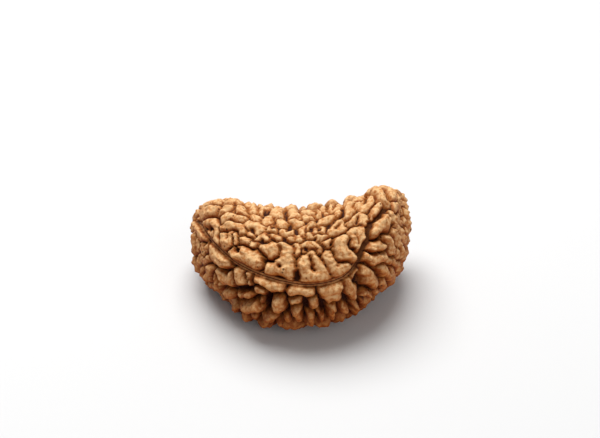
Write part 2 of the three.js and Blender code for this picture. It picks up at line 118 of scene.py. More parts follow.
# The suture has a rib up to here. Past it, it is an open valley of uneven width.
RIB_END = 7.0
RIB_SPAN = (RIB_END, RIB_END - 0.8)
SUTURE_SHOULDER = 0.35
VALLEY_SPAN = (RIB_END, RIB_END + 1.5)
VALLEY_WIDER = 0.25
VALLEY_WAVER = 0.6
VALLEY_END_SPAN = (RIB_END + 1.8, RIB_END + 2.5)
VALLEY_END_NARROWER = 0.85
LEAST_VALLEY = 0.3

# Low, wide swells of the core, above and below its middle: where each starts, is full, starts to fade
# and ends along the seed, and its height
UPPER_SWELLS = [(-14.2, -12.2, -9, -7, 0.45), (8.5, 10.5, 12, 13, 0.2), (12.8, 13.8, 15, 16, -0.5)]
LOWER_SWELLS = [(10.2, 11.4, 12.8, 14, 0.45)]
SWELL_SPAN = (2.5, 4.5)

# Colour, painted shade on the nodules' flanks and in the furrows: how far from a furrow a flank is
# full brown, and how much farther on the belly, the flank's share of the tone beside the crown's, and
# how uneven the tone is
FLANK_REACH = 0.55
BELLY_FLANK = 0.8
FLANK_SHARE = 0.65
MOTTLE = 0.42

# Nodules out of sight of the front, placed by rule
SEED = 7.31
CANDIDATES = 2600
HIDDEN_SIZES = (0.95, 0.7, 0.5)
HIDDEN_REACH = 1.3

# The belly's lower half, as directions from the core's middle, and the smallest nodules it has there
LOW_BELLY_ALONG = 0.8
LOW_BELLY_ACROSS = -0.3
LOW_BELLY_UP = -0.2
SMALLEST_OF_BELLY = 0.6

# Rounds that even the faces out, and the step of each
EVEN_ROUNDS = 60
EVEN_STEP = 0.5

# Nodules of the front, as on the real seed: half width, then strokes of [u, v] points.
# Two strokes of one nodule grow together with no furrow between them.
FRONT_NODULES = [
    # left horn, over the suture
    [0.9, [[-13.3, 5.9], [-11.8, 6.1]]],
    [0.4, [[-14.5, 6.3], [-13.6, 7.0]]],
    [0.5, [[-12.6, 7.5], [-11.2, 7.7]]],
    [0.6, [[-10.1, 7.5], [-8.6, 7.4]]],
    [0.6, [[-10.2, 6.2], [-9.5, 6.4]]],
    [0.65, [[-8.4, 6.4], [-7.8, 5.9]]],
    [0.55, [[-10.4, 4.9], [-9.3, 5.2], [-8.0, 5.0]]],
    [0.55, [[-12.8, 4.4], [-12.1, 4.6], [-11.3, 4.2], [-11.3, 3.2], [-11.2, 2.1]]],
    [0.4, [[-12.3, 3.2], [-11.9, 2.8]]],
    [0.45, [[-10.4, 2.7], [-10.3, 1.7], [-9.6, 1.5], [-9.3, 2.8]]],
    [0.5, [[-10.2, 3.9], [-9.2, 4.1], [-8.3, 3.9], [-7.9, 3.4]]],
    [0.35, [[-8.6, 2.9], [-8.6, 2.3]]],
    [0.55, [[-7.8, 2.4], [-7.3, 2.1]]],
    # the large lobes along the suture
    [1.0, [[-8.7, 0.3], [-7.2, 0.5], [-6.1, -0.7]]],
    [0.9, [[-4.5, 1.2], [-3.8, 1.1], [-3.4, -0.8]], [[-2.1, 1.5], [-1.7, -0.2]],
     [[-4.0, -1.5], [-1.7, -1.5], [-1.4, -2.2]]],
    [0.75, [[0.6, -0.6], [0.8, -2.6], [3.1, -2.5]], [[1.7, 0.2], [2.6, -0.6], [3.1, -2.0]]],
    [0.65, [[3.4, 0.4], [4.1, -0.7], [4.8, -1.8], [6.2, -1.5]]],
    [0.8, [[4.9, 2.3], [5.0, 1.2], [5.8, 0.4], [7.1, -0.1]], [[5.8, 2.4], [5.8, 1.2]]],
    # the middle of the upper flank, where nodules are small
    [0.4, [[-7.2, 4.0], [-6.9, 4.6], [-6.0, 4.6], [-5.5, 3.9], [-5.7, 3.3]]],
    [0.4, [[-6.9, 3.0], [-6.3, 2.9]]],
    [0.35, [[-6.1, 2.3], [-5.6, 2.9], [-4.9, 2.8], [-4.7, 2.2]]],
    [0.35, [[-6.7, 1.9], [-6.2, 1.6]]],
    [0.6, [[-6.6, 7.1], [-6.4, 6.4]]],
    [0.45, [[-6.4, 5.6], [-6.0, 5.4]]],
    [0.5, [[-5.4, 6.9], [-5.0, 6.2]]],
    [0.7, [[-3.2, 6.6], [-3.1, 5.9]]],
    [0.5, [[-4.5, 5.4], [-4.3, 4.8]]],
    [0.65, [[-1.1, 6.4], [-0.7, 5.8]]],
    [0.65, [[0.8, 6.3], [1.5, 6.1]]],
    [0.45, [[2.4, 6.2], [2.5, 5.8]]],
    [0.35, [[3.1, 6.7], [3.1, 6.0]]],
    [0.45, [[4.0, 7.0], [4.1, 6.4]]],
    [0.4, [[5.0, 7.1], [4.9, 6.0]]],
    [0.6, [[6.6, 7.5], [6.5, 6.2], [6.4, 5.6]]],
    [0.6, [[-2.9, 5.0], [-2.3, 4.5]]],
    [0.45, [[-3.9, 3.9], [-3.4, 3.4]]],
    [0.4, [[-2.4, 3.6], [-1.9, 3.1], [-1.2, 3.3]]],
    [0.45, [[-3.6, 3.0], [-3.1, 2.6]]],
    [0.5, [[-0.8, 5.0], [-0.3, 4.6]]],
    [0.45, [[0.3, 4.1], [0.3, 3.3]]],
    [0.4, [[-1.7, 2.6], [-1.4, 2.1]]],
    [0.45, [[-0.4, 2.9], [-0.1, 2.3]]],
    [0.45, [[1.0, 3.3], [1.2, 2.7]]],
    [0.45, [[1.2, 4.1], [1.6, 4.7]]],
    [0.4, [[1.9, 3.9], [2.1, 3.4]]],
    [0.35, [[-0.3, 1.5], [-0.4, 0.6]]],
    [0.5, [[0.3, 1.1], [1.1, 2.1], [1.9, 1.4], [2.5, 0.7]]],
    [0.4, [[2.2, 3.0], [2.6, 2.6], [3.3, 2.9]]],
    [0.45, [[2.6, 4.6], [3.3, 5.1], [4.3, 5.4]]],
    [0.45, [[2.8, 4.2], [3.1, 3.7]]],
    [0.5, [[3.5, 1.6], [4.1, 2.3]]],
    [0.6, [[5.3, 4.9], [5.0, 4.0]], [[4.2, 3.5], [6.0, 3.7]]],
    # right horn, over the suture
    [0.5, [[6.6, 4.7], [7.2, 5.1], [7.9, 5.6], [8.7, 5.3], [9.0, 4.6]]],
    [0.5, [[6.7, 3.3], [7.3, 3.9], [7.9, 3.8], [8.5, 3.1], [8.6, 2.2]], [[6.9, 3.0], [7.2, 2.0], [7.6, 1.4]]],
    [0.5, [[7.5, 8.0], [8.4, 8.2]]],
    [0.5, [[7.6, 7.2], [8.2, 6.8], [8.8, 6.7], [9.3, 7.2], [9.7, 8.0]]],
    [0.85, [[9.7, 8.8], [10.6, 8.9], [11.1, 8.2], [11.4, 7.4]]],
    [0.5, [[10.6, 7.0], [10.3, 6.3], [9.9, 5.3]]],
    # right horn, under the suture
    [0.85, [[12.3, 9.1], [12.8, 8.7], [12.7, 8.0]]],
    [0.5, [[13.7, 8.6], [14.2, 7.8]]],
    [0.65, [[12.8, 6.7], [13.6, 6.9], [14.3, 6.6]]],
    [0.5, [[13.9, 5.5], [14.3, 4.7]]],
    [0.95, [[9.9, 3.4], [10.8, 4.1], [11.5, 4.8]]],
    [0.5, [[12.3, 5.4], [12.9, 5.1], [12.9, 4.5]]],
    [0.75, [[9.7, 1.2], [10.6, 1.6], [11.2, 1.2]]],
    [0.6, [[11.5, 2.6], [12.2, 1.8], [12.6, 0.5]]],
    [0.45, [[12.7, 3.4], [13.4, 2.7], [13.7, 1.5]]],
    [0.5, [[13.7, 3.9], [14.4, 3.0], [14.7, 1.8]]],
    [0.4, [[13.4, 0.4], [13.4, -0.3]]],
    [0.75, [[8.9, -0.2], [9.9, -0.5], [11.5, -0.3]]],
    [0.45, [[13.0, -1.0], [13.6, -2.2]]],
    [0.75, [[11.1, -2.0], [12.0, -2.3], [12.7, -3.0]]],
    [0.95, [[8.7, -1.9], [9.5, -2.9], [10.1, -3.8]]],
    [0.35, [[7.5, -2.0], [7.8, -2.8]]],
    [0.5, [[11.3, -3.9], [11.6, -4.5]]],
    [0.4, [[12.4, -4.3], [12.8, -3.9]]],
    [0.5, [[10.6, -5.2], [11.7, -5.3]]],
    [0.5, [[8.8, -5.3], [9.5, -5.3]]],
    # belly, under the suture
    [0.35, [[8.4, -6.1], [8.3, -6.9]]],
    [0.6, [[6.5, -3.7], [7.0, -4.5], [7.2, -5.4]]],
    [0.75, [[7.6, -6.8], [7.3, -7.7]]],
    [0.6, [[5.7, -6.9], [6.1, -7.6]]],
    [0.85, [[4.5, -7.2], [4.2, -8.4]]],
    [0.7, [[3.1, -4.7], [4.4, -4.6], [5.2, -4.4]], [[3.4, -5.7], [4.6, -5.7]]],
    [0.6, [[-1.2, -4.8], [0.5, -4.8], [1.6, -4.9]]],
    [0.55, [[-0.9, -5.9], [-0.2, -6.1]]],
    [0.5, [[1.7, -5.9], [2.1, -6.3], [2.0, -6.8]]],
    [0.8, [[-5.8, -3.3], [-4.6, -3.8], [-2.8, -4.2]]],
    [0.5, [[-5.9, -4.6], [-5.2, -4.9]]],
    [0.75, [[-8.6, -2.1], [-8.4, -3.4]]],
    [0.35, [[-7.2, -2.6], [-7.0, -3.5]]],
    [0.6, [[-11.2, -2.4], [-10.7, -3.5], [-9.9, -3.5], [-9.7, -2.7]]],
    [0.85, [[-12.2, 0.8], [-11.5, -0.2], [-10.3, -1.0]]],
    [0.75, [[-14.5, 4.6], [-14.2, 3.6], [-13.5, 2.7]]],
    [0.35, [[-14.4, 1.8], [-14.3, 0.7]]],
    [0.4, [[-13.5, 1.6], [-13.6, 0.3]]],
    [0.4, [[-14.1, -0.3], [-13.0, -0.5]]],
    [0.5, [[-13.7, -2.0], [-13.4, -3.2]]],
    [0.5, [[-12.7, -2.0], [-12.5, -3.3]]],
    [0.6, [[-12.6, -4.3], [-11.8, -5.0]]],
    [0.75, [[-10.3, -5.4], [-9.8, -5.5]]],
    [0.7, [[-8.1, -5.4], [-7.2, -5.4]]],
    [0.95, [[-7.5, -7.3], [-6.2, -6.9], [-5.8, -7.2]]],
    [1.1, [[-3.3, -6.3], [-2.9, -7.2]]],
    [0.75, [[-3.8, -8.2], [-4.7, -8.7]]],
    [0.75, [[-0.5, -7.6], [-0.3, -8.6]]],
    [0.45, [[-2.0, -8.3], [-1.7, -8.9]]],
    [0.75, [[1.2, -8.2], [1.3, -9.1]]],
    [0.5, [[2.7, -7.7], [2.8, -8.8]]],
]

# Further furrows of the front, where nodules stand apart or are notched: [u, v] points
FRONT_FURROWS = [
    [[-12.4, 3.9], [-12.2, 3.6]],
    [[-9.9, 3.1], [-9.9, 2.4]],
    [[-8.8, 3.2], [-8.9, 1.6]],
    [[-6.6, 3.8], [-6.4, 3.5]],
    [[-5.9, 6.7], [-5.3, 5.4]],
    [[-4.5, 6.2], [-4.6, 5.8]],
    [[-4.9, 3.8], [-4.3, 2.4]],
    [[-5.3, 2.3], [-5.2, 1.9]],
    [[-1.95, 6.5], [-1.9, 5.2]],
    [[-1.45, 4.4], [-1.7, 3.6]],
    [[3.9, 4.5], [3.8, 4.2]],
    [[-2.9, 1.3], [-3.0, 0.0]],
    [[-0.5, -0.2], [-0.4, -2.9]],
    [[3.7, -1.2], [4.3, -2.9]],
    [[-5.3, 0.2], [-5.0, -1.9]],
    [[7.6, 3.3], [7.7, 2.3], [8.0, 1.7]],
    [[4.4, 2.5], [4.4, 1.3]],
    [[12.6, 4.6], [12.4, 4.0]],
    [[0.4, -5.8], [0.9, -6.6], [0.8, -7.4]],
    [[6.0, -5.6], [6.6, -6.4]],
    [[7.4, -2.9], [8.2, -4.5], [10.2, -4.9]],
    [[-4.4, -4.9], [-4.7, -6.0], [-4.5, -7.3]],
    [[-9.1, -4.5], [-6.7, -4.5]],
    [[-11.9, -2.0], [-11.4, -4.3], [-9.4, -4.6]],
    [[-9.0, -4.8], [-9.0, -6.4]],
    [[-2.9, -8.9], [-2.4, -9.3]],
    [[11.3, 6.3], [12.0, 6.3]],
    [[9.1, 4.7], [9.4, 4.1]],
]

# Fine creases in the nodules of the front, too narrow for the solid: half width with the sloping
# sides, then [u, v] points
FRONT_CREASES = [
    [0.23, [[-8.65, 1.4], [-8.7, 0.8]]],
    [0.25, [[-8.95, 7.0], [-8.9, 5.9]]],
    [0.21, [[1.25, 0.2], [1.45, -0.5], [1.6, -1.0], [1.5, -1.5], [1.9, -1.8]]],
    [0.16, [[5.1, -0.6], [5.05, -1.1]]],
    [0.25, [[6.8, 2.5], [6.5, 1.7], [6.7, 1.3], [7.4, 1.1]]],
    [0.27, [[7.8, 5.4], [7.6, 4.6]]],
    [0.25, [[0.1, 6.7], [0.05, 5.1]]],
    [0.27, [[5.75, 7.0], [5.7, 5.6]]],
    [0.25, [[-0.6, 4.1], [-0.4, 3.1]]],
    [0.25, [[-7.65, -2.3], [-7.4, -3.2]]],
    [0.23, [[12.1, -1.6], [12.4, -2.3]]],
    [0.25, [[11.2, 9.6], [11.6, 8.4], [12.0, 7.3]]],
    [0.25, [[8.9, 8.4], [8.9, 7.9], [8.7, 7.2]]],
    [0.16, [[1.5, 1.9], [2.3, 1.1]]],
    [0.23, [[-14.0, 1.9], [-14.0, 1.1]]],
    [0.23, [[5.3, 4.6], [4.7, 3.9]]],
    [0.23, [[-4.8, -0.4], [-3.6, -0.6]]],
    [0.42, [[-0.6, -2.2], [-0.5, -3.0]]],
    [0.3, [[-0.8, -2.9], [-0.6, -2.8]]],
    [0.24, [[-3.0, 0.1], [-3.8, -0.5], [-5.0, -0.4]]],
    [0.22, [[2.4, 2.3], [3.2, 1.4]]],
    [0.24, [[-3.4, 5.1], [-3.5, 4.4]]],
    [0.22, [[-7.1, 6.9], [-7.0, 5.4]]],
    [0.24, [[3.7, 7.0], [3.6, 6.2]]],
    [0.4, [[-6.65, 3.8], [-6.5, 3.6]]],
    [0.44, [[-5.3, 2.3], [-5.2, 2.1]]],
    [0.42, [[-12.3, 3.8], [-12.1, 3.6]]],
    [0.38, [[-1.45, 4.4], [-1.55, 3.8]]],
    [0.34, [[-0.65, 3.9], [-0.6, 3.3]]],
    [0.4, [[-3.7, 4.1], [-3.6, 4.0]]],
    [0.38, [[3.9, 4.5], [3.7, 4.1]]],
    [0.34, [[2.5, 4.0], [2.5, 3.8]]],
    [0.38, [[1.4, 4.0], [1.5, 3.7]]],
    [0.32, [[-2.1, 2.6], [-2.0, 2.4]]],
    [0.4, [[0.6, 1.2], [0.8, 1.1]]],
    [0.26, [[-2.9, -1.15], [-2.85, -1.25]]],
    [0.38, [[-8.5, 0.9], [-8.4, 0.8]]],
    [0.34, [[-4.75, 6.4], [-4.8, 5.8]]],
    [0.34, [[-1.95, 6.5], [-1.95, 5.4]]],
    [0.32, [[5.7, 6.8], [5.7, 5.6]]],
    [0.4, [[14.4, 6.4], [14.4, 6.2]]],
    [0.42, [[7.6, -2.4], [7.5, -3.4]]],
    [0.46, [[0.6, -5.9], [0.8, -7.2]]],
    [0.46, [[-4.4, -5.2], [-4.7, -6.4], [-4.5, -7.4]]],
    [0.46, [[6.1, -5.8], [6.5, -6.3]]],
    [0.46, [[3.0, -6.2], [3.2, -7.6]]],
    [0.51, [[-3.0, -8.8], [-2.2, -9.2]]],
    [0.42, [[-9.0, -4.6], [-6.8, -4.5]]],
]

# The suture, horn to horn: [u, v] points of the front
SUTURE = [
    [-14.9, 5.5], [-14.0, 4.4], [-13.0, 3.0], [-12.0, 1.9], [-11.0, 0.95], [-10.0, 0.1], [-9.0, -0.75],
    [-8.0, -1.35], [-7.0, -1.85], [-5.5, -2.45], [-4.0, -2.9], [-2.0, -3.4], [0.0, -3.75], [1.5, -3.8],
    [3.0, -3.65], [4.5, -3.35], [5.8, -2.85], [6.8, -2.1], [7.5, -1.2], [8.05, -0.3], [8.3, 0.6],
    [8.8, 1.6], [9.25, 2.6], [9.35, 3.6], [9.7, 4.6], [10.7, 5.7], [11.5, 6.4],
]


class SeedSizes(bpy.types.PropertyGroup):
    """Sizes of the seed's relief."""

    nodule_top: FloatProperty(
        name="Nodule top", description="How high a large nodule stands above the core",
        default=0.52 * MM, precision=5, unit="LENGTH",
    )
    furrow_depth: FloatProperty(
        name="Furrow depth", description="How deep a furrow between large nodules is below the core",
        default=0.65 * MM, precision=5, unit="LENGTH",
    )
    shoulder: FloatProperty(
        name="Shoulder", description="How far from a furrow a nodule reaches most of its height",
        default=0.5 * MM, precision=5, unit="LENGTH",
    )
    furrow_half_width: FloatProperty(
        name="Furrow half width", description="Half the width of a furrow's floor",
        default=0.03 * MM, precision=5, unit="LENGTH",
    )
    suture_half_width: FloatProperty(
        name="Suture half width", description="Half the width of the furrow that the suture lies in",
        default=0.27 * MM, precision=5, unit="LENGTH",
    )
    suture_depth: FloatProperty(
        name="Suture depth", description="How deep the suture's furrow is below the core",
        default=0.4 * MM, precision=5, unit="LENGTH",
    )
    rib_half_width: FloatProperty(
        name="Rib half width", description="Half the width of the rib along the suture",
        default=0.26 * MM, precision=5, unit="LENGTH",
    )
    cuts: IntProperty(
        name="Cuts", description="How many faces lie along an edge of the block that the seed grows from",
        default=128, min=16, max=128,
    )


def to_linear(colour):
    """The linear RGB of an sRGB hex string."""
    shares = [int(colour[i:i + 2], 16) / 255 for i in (1, 3, 5)]
    return tuple(c / 12.92 if c <= 0.04045 else ((c + 0.055) / 1.055) ** 2.4 for c in shares)


class SeedColours(bpy.types.PropertyGroup):
    """Colours of the seed, several of them painted shade."""

    crown: FloatVectorProperty(
        name="Crown", description="Worn tops of the nodules",
        subtype="COLOR", size=3, min=0, max=1, default=to_linear("#dfb582"),
    )
    # painted shade on the nodules' sides
    shaded_flank: FloatVectorProperty(
        name="Flank", description="Sides of the nodules",
        subtype="COLOR", size=3, min=0, max=1, default=to_linear("#a5662d"),
    )
    # painted shade on the furrows' floors and in the pores
    furrow: FloatVectorProperty(
        name="Furrow", description="Floor of the furrows and of the pores",
        subtype="COLOR", size=3, min=0, max=1, default=to_linear("#3c1803"),
    )
    suture: FloatVectorProperty(
        name="Suture", description="Lips of the suture",
        subtype="COLOR", size=3, min=0, max=1, default=to_linear("#b07a4a"),
    )
    # painted shade on the valley's floor
    valley_shade: FloatVectorProperty(
        name="Valley", description="Floor of the suture where it has no lips",
        subtype="COLOR", size=3, min=0, max=1, default=to_linear("#5c3414"),
    )
    # multiplied in for the flecks, and as painted shade on what doesn't face up
    side: FloatVectorProperty(
        name="Side", description="Tint of the flecks and of what doesn't face up",
        subtype="COLOR", size=3, min=0, max=1, default=to_linear("#d09c64"),
    )
    # painted shade on the sides and the underside
    low: FloatVectorProperty(
        name="Low", description="Tint of the sides and the underside",
        subtype="COLOR", size=3, min=0, max=1, default=to_linear("#dec4a4"),
    )


def unit(vectors):
    return vectors / np.linalg.norm(vectors, axis=-1, keepdims=True)


def core_share(x):
    """Half thickness of the core at x, as a share of its half thickness in the middle."""
    end = np.minimum(1, np.abs(x / CORE_HALF_LENGTH)) ** END_FULLNESS
    return (1 - end) ** (1 / END_FULLNESS) * (1 + TAPER * (x / CORE_HALF_LENGTH) ** 3)


def core_middle(x):
    along = x / CORE_HALF_LENGTH
    return np.stack([x, CORE_FRONT_SHIFT + BEND * along ** 2, RIGHT_HORN_LIFT * along], axis=-1)


def core_point(directions):
    """The points of the core's surface that directions from its middle lead to."""
    along, across, upward = np.moveaxis(directions, -1, 0)
    girth_share = np.hypot(across, upward)
    reach = (np.abs(along) ** END_FULLNESS + girth_share ** END_FULLNESS) ** (-1 / END_FULLNESS)
    x = CORE_HALF_LENGTH * along * reach
    girth = reach * (1 + TAPER * (x / CORE_HALF_LENGTH) ** 3)
    points = core_middle(x)
    points[..., 1] += CORE_HALF_DEPTH * across * girth
    points[..., 2] += CORE_HALF_HEIGHT * upward * girth
    return points


def core_direction(points):
    """The directions that lead to points, the reverse of core_point."""
    x = np.clip(points[..., 0], -CORE_HALF_LENGTH, CORE_HALF_LENGTH)
    offset = points - core_middle(x)
    girth = 1 + TAPER * (x / CORE_HALF_LENGTH) ** 3
    return unit(np.stack([
        x / CORE_HALF_LENGTH,
        offset[..., 1] / CORE_HALF_DEPTH / girth,
        offset[..., 2] / CORE_HALF_HEIGHT / girth,
    ], axis=-1))


def core_normal(directions):
    step = 1e-3
    helper = np.where(
        np.abs(directions[..., :1]) < 0.9, np.array([1.0, 0.0, 0.0]), np.array([0.0, 1.0, 0.0]),
    )
    first = unit(np.cross(directions, helper))
    second = np.cross(directions, first)
    slopes = [
        core_point(unit(directions + side * step)) - core_point(unit(directions - side * step))
        for side in (first, second)
    ]
    return unit(np.cross(*slopes))


def near_side_point(u, v):
    """The point of the core's near side at u, v of the front. Past the outline it is the outline's."""
    edge = INSIDE_OUTLINE * CORE_HALF_LENGTH
    x = np.clip(u, -edge, edge)
    middle = core_middle(x)
    depth = CORE_HALF_DEPTH * core_share(x)
    height = CORE_HALF_HEIGHT * core_share(x)
    outline = np.hypot(FRONT_UP[1] * depth, FRONT_UP[2] * height)
    rise = np.clip(v - middle @ FRONT_UP, -outline, outline)
    a = (TO_EYE[1] / depth) ** 2 + (TO_EYE[2] / height) ** 2
    b = rise * (FRONT_UP[1] * TO_EYE[1] / depth ** 2 + FRONT_UP[2] * TO_EYE[2] / height ** 2)
    c = (rise * FRONT_UP[1] / depth) ** 2 + (rise * FRONT_UP[2] / height) ** 2 - 1
    reach = (-b + np.sqrt(np.maximum(0, b * b - a * c))) / a
    return middle + rise[..., None] * FRONT_UP + reach[..., None] * TO_EYE


def front_points(stroke):
    """The points of the core under a stroke of the front that is drawn at the nodules' height."""
    u, v = np.array(stroke, dtype=float).T
    points = near_side_point(u, v)
    for _ in range(DRAWN_ROUNDS):
        lift = DRAWN_LIFT * core_normal(core_direction(points))
        points = near_side_point(u - lift[:, 0], v - lift @ FRONT_UP)
    return points


def distance_to(strokes, points):
    """How far points are from the nearest of some strokes, each a row of points."""
    least = np.full(points.shape[:-1], np.inf)
    for stroke in strokes:
        for start, end in zip(stroke[:-1], stroke[1:]):
            line = end - start
            share = np.clip((points - start) @ line / (line @ line), 0, 1)
            away = points - start - share[..., None] * line
            least = np.minimum(least, np.einsum("...i,...i", away, away))
    return np.sqrt(least)


def draw(index):
    """A repeatable draw between 0 and 1."""
    wave = math.sin(index * 12.9898 + SEED) * 43758.5453
    return wave - math.floor(wave)


def all_nodules():
    """Half width and strokes of every nodule: the front's, then the hidden ones by rule.

    Even places over the whole core are tried in turn. One is kept where no nodule is near. The
    smallest are left out of the belly's lower half, where the nodules beside them grow wider.
    """
    nodules = [(half_width, [front_points(stroke) for stroke in strokes])
               for half_width, *strokes in FRONT_NODULES]
    golden_turn = math.pi * (3 - math.sqrt(5))
    turns = golden_turn * np.arange(CANDIDATES)
    along = 1 - (2 * np.arange(CANDIDATES) + 1) / CANDIDATES
    girth = np.sqrt(1 - along ** 2)
    directions = np.stack([along, girth * np.cos(turns), girth * np.sin(turns)], axis=-1)
    places = core_point(directions)
    normals = core_normal(directions)
    sides = unit(np.cross(np.array([0.0, 0.0, 1.0]), normals))
    belly = np.abs(along) < LOW_BELLY_ALONG
    belly &= (directions[:, 1] < LOW_BELLY_ACROSS) & (directions[:, 2] < LOW_BELLY_UP)
    for pass_number, half_width in enumerate(HIDDEN_SIZES):
        index = pass_number * CANDIDATES + np.arange(CANDIDATES)
        heading = np.array([math.pi * draw(i) for i in index])[:, None]
        reach = np.array([HIDDEN_REACH * half_width * draw(i + 0.5) for i in index])[:, None]
        way = sides * np.cos(heading) + np.cross(normals, sides) * np.sin(heading)
        ends = np.stack([places - reach * way, places, places + reach * way], axis=1)
        clear = np.full(ends.shape[:2], np.inf)
        for other, strokes in nodules:
            clear = np.minimum(clear, distance_to(strokes, ends) - other)
        for i in range(CANDIDATES):
            if belly[i] and half_width < SMALLEST_OF_BELLY:
                continue
            if clear[i].min() > half_width:
                strokes = [core_point(core_direction(ends[i]))]
                nodules.append((half_width, strokes))
                clear = np.minimum(clear, distance_to(strokes, ends) - half_width)
    return nodules


def waver(points):
    """Moves places a little, so that furrows waver. The inner waves keep the outer ones from repeating."""
    k = 2 * math.pi / WAVER_PITCH
    x, y, z = np.moveaxis(points, -1, 0)
    return np.stack([
        x + WAVER * np.sin(k * y + 1.3 * np.sin(0.7 * k * z)),
        y + WAVER * np.sin(k * z + 1.3 * np.sin(0.7 * k * x)),
        z + WAVER * np.sin(k * x + 1.3 * np.sin(0.7 * k * y)),
    ], axis=-1)


def lumps(points, pitch):
    """Soft uneven bumps about a pitch wide, from about -1 to 1."""
    k = 2 * math.pi / pitch
    x, y, z = np.moveaxis(points, -1, 0)
    waves = (
        np.sin(k * (0.8 * x + 0.6 * y) + 1.9 * np.sin(0.57 * k * z)),
        np.sin(k * (0.8 * y + 0.6 * z) + 1.9 * np.sin(0.57 * k * x)),
        np.sin(k * (0.8 * z - 0.6 * x) + 1.9 * np.sin(0.57 * k * y)),
    )
    return (waves[0] * waves[1] + waves[1] * waves[2] + waves[2] * waves[0]) / 1.5


def rounded(distance, reach):
    """A quarter circle from 0 at no distance to 1 at the reach and past it."""
    left = 1 - np.minimum(1, distance / reach)
    return np.sqrt(1 - left * left)


def signed_distance_to(stroke, points):
    """How far points are from a stroke on the core, and on which side: over it is positive."""
    least = np.full(len(points), np.inf)
    side = np.ones(len(points))
    for start, end in zip(stroke[:-1], stroke[1:]):
        line = end - start
        share = np.clip((points - start) @ line / (line @ line), 0, 1)
        away = points - start - share[:, None] * line
        distance = np.linalg.norm(away, axis=1)
        nearer = distance < least
        least[nearer] = distance[nearer]
        side[nearer] = np.sign(away[nearer, 2])
    return least * side


def ramped(value, start, end):
    """A share from 0 at the start to 1 at the end, and held there."""
    return np.clip((value - start) / (end - start), 0, 1)


def nearest_nodules(places):
    """The nodules about places: the way to the furrow and to the spine, and the girth and lift there.

    A furrow lies halfway between two nodules. Girth and lift blend from one nodule to the next.
    """
    first = np.full(len(places), np.inf)
    second = np.full(len(places), np.inf)
    spine = np.zeros(len(places))
    weight = np.zeros(len(places))
    girth = np.zeros(len(places))
    lift = np.zeros(len(places))
    for number, (half_width, strokes) in enumerate(all_nodules()):
        from_spine = distance_to(strokes, places)
        away = from_spine - half_width
        share = np.exp(-away / GIRTH_BLEND)
        weight += share
        girth += share * half_width
        lift += share * HEIGHT_SPREAD * (draw(number + 0.25) - 0.5)
        spine = np.where(away < first, from_spine, spine)
        second = np.minimum(second, np.maximum(first, away))
        first = np.minimum(first, away)
    return (second - first) / 2, spine, girth / weight, lift / weight


def suture_share(points):
    """How wide the suture's furrow is at points, as a share of its width where it has a rib."""
    x = points[:, 0]
    share = 1 + (VALLEY_WIDER + VALLEY_WAVER * lumps(points, WAVER_PITCH)) * ramped(x, *VALLEY_SPAN)
    share -= VALLEY_END_NARROWER * ramped(x, *VALLEY_END_SPAN)
    return np.maximum(LEAST_VALLEY, share)


def swell(points):
    """Height of the low, wide swells at points."""
    x, _, z = points.T
    height = np.zeros(len(points))
    for swells, level in ((UPPER_SWELLS, z), (LOWER_SWELLS, -z)):
        for start, full, fading, end, rise in swells:
            height += rise * ramped(x, start, full) * ramped(x, end, fading) * ramped(level, *SWELL_SPAN)
    return height


